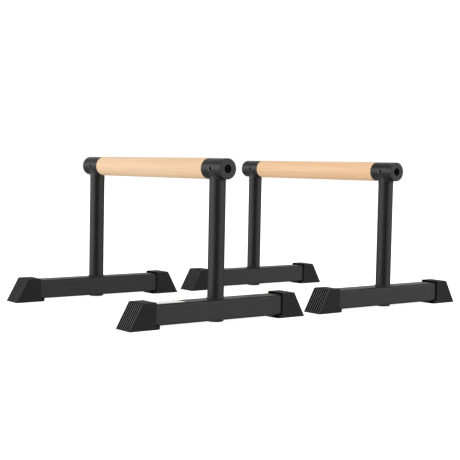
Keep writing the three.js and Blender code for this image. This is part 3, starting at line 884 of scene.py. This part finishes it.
def wood_mesh():
    """Turned bar about X, centred on its unit: round rims, tenons, bores."""
    shoulder = post_x + COLLAR_IN
    end = post_x + TENON_END
    half = [(BAR_R, shoulder, 1.7), (TENON_R, shoulder, 0.4), (TENON_R, end, 1.0)]
    pocket, bore = post_x + INSERT_POCKET_END, post_x + BOLT_BORE_END
    half += [(INSERT_POCKET_R, end, 0.3), (INSERT_POCKET_R, pocket, 0)]
    half += [(BOLT_BORE_R, pocket, 0), (BOLT_BORE_R, bore, 0), (0, bore, 0)]
    mirrored = [(r, -x, e) for r, x, e in reversed(half)]
    outline = rounded(mirrored + half, False, 6)
    mesh = moved(turned("wood", outline, False, 128), at(0, 0, BAR_Z) @ TO_X)
    drill = [(0, SET_SCREW_POCKET), (SET_SCREW_HOLE_R, SET_SCREW_POCKET)]
    drill += [(SET_SCREW_HOLE_R, BAR_R + OVERCUT), (0, BAR_R + OVERCUT)]
    for x in (-post_x, post_x):
        for side in (TO_PLUS_Y, TO_MINUS_Y):
            tool = moved(turned("drill", drill, False, 32), at(x, 0, BAR_Z) @ side)
            mesh = carved(mesh, tool)
    return smooth(mesh, 30)


# ---------------------------------------------------------------- assembly
def piece(name, mesh, matrix, node):
    """One finished piece in place of its CAD node."""
    own = mesh.copy()
    own.name = name
    own.transform(matrix)
    own.materials.clear()
    own.materials.append(FINISH[SLOT_OF[node]])
    obj = bpy.data.objects.new(name, own)
    bpy.context.scene.collection.objects.link(obj)
    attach(obj, "right_unit" if node.startswith("right_") else "left_unit")
    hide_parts(node)


frame_pieces = {
    "collar": collar_mesh(),
    "post": post_mesh(),
    "base_tube": base_tube_mesh(),
    "collar_weld": collar_weld_mesh(),
    "base_weld": base_weld_mesh(),
    "post_plug": plug_mesh(),
    "bar_bolt": bolt_mesh(),
    "bolt_washer": washer_mesh(),
}
foot, set_screw, wood = foot_mesh(), set_screw_mesh(), wood_mesh()
half_turn = Matrix.Rotation(math.pi, 4, "Z")
plain = Matrix.Identity(4)

for unit in ("right", "left"):
    for end in ("front", "rear"):
        stem = f"{unit}_{end}"
        x, y, outward = post_place(stem)
        stand = at(x, y, 0)
        turn = plain if outward > 0 else half_turn
        for part, mesh in frame_pieces.items():
            node = f"{stem}_{part}"
            piece(f"{node}_finished", mesh, stand @ turn, node)
        for place in ("inner", "outer"):
            for part, mesh in (("foot", foot), ("set_screw", set_screw)):
                node = f"{stem}_{place}_{part}"
                low, high = box_mm(node)
                side = plain if (low.y + high.y) / 2 > y else half_turn
                piece(f"{node}_finished", mesh, stand @ side, node)
        # The insert is shut inside the bar and keeps its own mesh.
        insert = frame["nodes"][f"{stem}_bar_insert"]
        insert.data.materials.clear()
        insert.data.materials.append(FINISH["insert_brass"])
    piece(f"{unit}_wood_bar_finished", wood, at(0, y, 0), f"{unit}_wood_bar")
piece("right_front_label_finished", label_mesh(), at(post_x, post_y, 0), "right_front_label")


# ---------------------------------------------------------------- studio
# Metres and radians. The heading turns from +Y, anticlockwise seen from above.
CAMERA_PLACE = (1.8158, -1.4188, 0.2985)
CAMERA_HEADING = 0.9153
CAMERA_PITCH = -0.0607
CAMERA_ROLL = 0.0200
CAMERA_LENS = 81.73
CAMERA_SENSOR = 36
CAMERA_FAR = 60

# What the camera sees behind the bars, and the floor's own glow.
BACKDROP = 1.05
FLOOR_REACH = 14.0
FLOOR_GLOW = 0.93

# Even fill on matt surfaces, and how much it gains at the front and on top.
FILL = 1.03
FILL_FRONT = 0.4
FILL_TOP = -0.02

# Soft lights seen in glossy surfaces. Each fades in between two cosines off its middle.
SIDE_LEAN = 0.3
SIDE_FADE = (0.55, 0.97)
LEFT_LIGHT = 2.8
RIGHT_LIGHT = 1.85
LOW_SIDES = 0.34
HIGH_SIDES = 0.2
BACK_FADE = (0.2, 0.9)
BACK_LIGHT = 0.65
LOW_BACK = 0.35
FLOOR_FADE = (0.3, 0.9)
FLOOR_LIGHT = 0.38
ROOM_LIGHT = 0.02

SOFTBOX_PLACE = Vector((0.5, -0.5, 2.4))
SOFTBOX_AIM = Vector((0, 0, 0.15))
SOFTBOX_SIZE = 2.6
SOFTBOX_POWER = 5


def make_camera():
    data = bpy.data.cameras.new("camera")
    data.lens = CAMERA_LENS
    data.sensor_width = CAMERA_SENSOR
    data.clip_end = CAMERA_FAR
    camera = bpy.data.objects.new("camera", data)
    turn = Matrix.Rotation(CAMERA_HEADING, 4, "Z")
    turn = turn @ Matrix.Rotation(math.pi / 2 + CAMERA_PITCH, 4, "X")
    turn = turn @ Matrix.Rotation(CAMERA_ROLL, 4, "Z")
    camera.matrix_world = Matrix.Translation(CAMERA_PLACE) @ turn
    bpy.context.scene.collection.objects.link(camera)
    bpy.context.scene.camera = camera


def make_floor():
    mesh = bpy.data.meshes.new("studio_floor")
    r = FLOOR_REACH
    mesh.from_pydata([(-r, -r, 0), (r, -r, 0), (r, r, 0), (-r, r, 0)], [], [(0, 1, 2, 3)])
    n = Nodes("studio_white")
    tone = n.blend(n.noise(1.5, 2), (0.5, 0.5, 0.5), (0.48, 0.48, 0.48))
    n.finish(tone, n.span(n.noise(8, 2), 0, 1, 0.85, 0.95), specular=0.0)
    n.bsdf.inputs["Emission Color"].default_value = (1, 1, 1, 1)
    n.bsdf.inputs["Emission Strength"].default_value = FLOOR_GLOW
    mesh.materials.append(n.material)
    floor = bpy.data.objects.new("studio_floor", mesh)
    floor.visible_glossy = False
    floor.visible_diffuse = False
    bpy.context.scene.collection.objects.link(floor)


def make_softbox():
    data = bpy.data.lights.new("overhead", "AREA")
    data.shape = "RECTANGLE"
    data.size = data.size_y = SOFTBOX_SIZE
    data.energy = SOFTBOX_POWER
    light = bpy.data.objects.new("overhead", data)
    light.location = SOFTBOX_PLACE
    light.rotation_euler = (SOFTBOX_AIM - SOFTBOX_PLACE).to_track_quat("-Z", "Y").to_euler()
    light.visible_camera = False
    bpy.context.scene.collection.objects.link(light)


class WorldNodes(Tree):
    """Node tree of the sky: sums of soft patches of light over its directions."""

    def __init__(self, tree):
        super().__init__(tree)
        self.sky = self.add("ShaderNodeTexCoord").outputs["Generated"]

    def patch(self, direction, start, full, low, high, kind="SMOOTHSTEP"):
        """low where the cosine off direction is under start, rising to high at full."""
        node = self.add("ShaderNodeVectorMath", operation="DOT_PRODUCT")
        node.inputs[1].default_value = Vector(direction).normalized()
        self.join(self.sky, node.inputs[0])
        return self.span(node.outputs["Value"], start, full, low, high, kind)

    def light(self, strength):
        node = self.add("ShaderNodeBackground")
        node.inputs[0].default_value = (1, 1, 1, 1)
        self.feed(node.inputs[1], strength)
        return node.outputs[0]

    def choose(self, switch, off, on):
        node = self.add("ShaderNodeMixShader")
        for socket, source in zip(node.inputs, (switch, off, on)):
            self.join(source, socket)
        return node.outputs[0]


def make_world():
    """White backdrop, an even fill for matt surfaces, and soft lights for glossy ones."""
    world = bpy.data.worlds.new("studio")
    bpy.context.scene.world = world
    world.use_nodes = True
    w = WorldNodes(world.node_tree)
    front = Vector((CAMERA_PLACE[0], CAMERA_PLACE[1], 0)).normalized()
    right = Vector((-front.y, front.x, 0))
    up = Vector((0, 0, 1))

    fill = w.maths("ADD", w.patch(front, -1, 1, FILL - FILL_FRONT, FILL + FILL_FRONT, "LINEAR"),
                   w.patch(up, -1, 1, -FILL_TOP, FILL_TOP, "LINEAR"))
    sides = w.maths("ADD", w.patch(SIDE_LEAN * front - right, *SIDE_FADE, 0, LEFT_LIGHT),
                    w.patch(SIDE_LEAN * front + right, *SIDE_FADE, 0, RIGHT_LIGHT))
    sides = w.maths("MULTIPLY", sides, w.patch(up, -0.1, 0.1, LOW_SIDES, 1))
    sides = w.maths("MULTIPLY", sides, w.patch(-up, -0.7, -0.3, HIGH_SIDES, 1))
    sides = w.maths("ADD", sides, w.patch(-up, *FLOOR_FADE, 0, FLOOR_LIGHT))
    back = w.maths("MULTIPLY", w.patch(-front, *BACK_FADE, 0, BACK_LIGHT),
                   w.patch(up, 0.0, 0.25, LOW_BACK, 1))
    gloss = w.maths("ADD", w.maths("ADD", sides, back), ROOM_LIGHT)

    ray = w.add("ShaderNodeLightPath")
    lit = w.choose(ray.outputs["Is Diffuse Ray"], w.light(gloss), w.light(fill))
    seen = w.choose(ray.outputs["Is Camera Ray"], lit, w.light(BACKDROP))
    w.join(seen, w.add("ShaderNodeOutputWorld").inputs[0])


make_camera()
make_floor()
make_world()
make_softbox()
bpy.context.scene.view_settings.view_transform = "Standard"
bpy.context.scene.view_settings.look = "None"
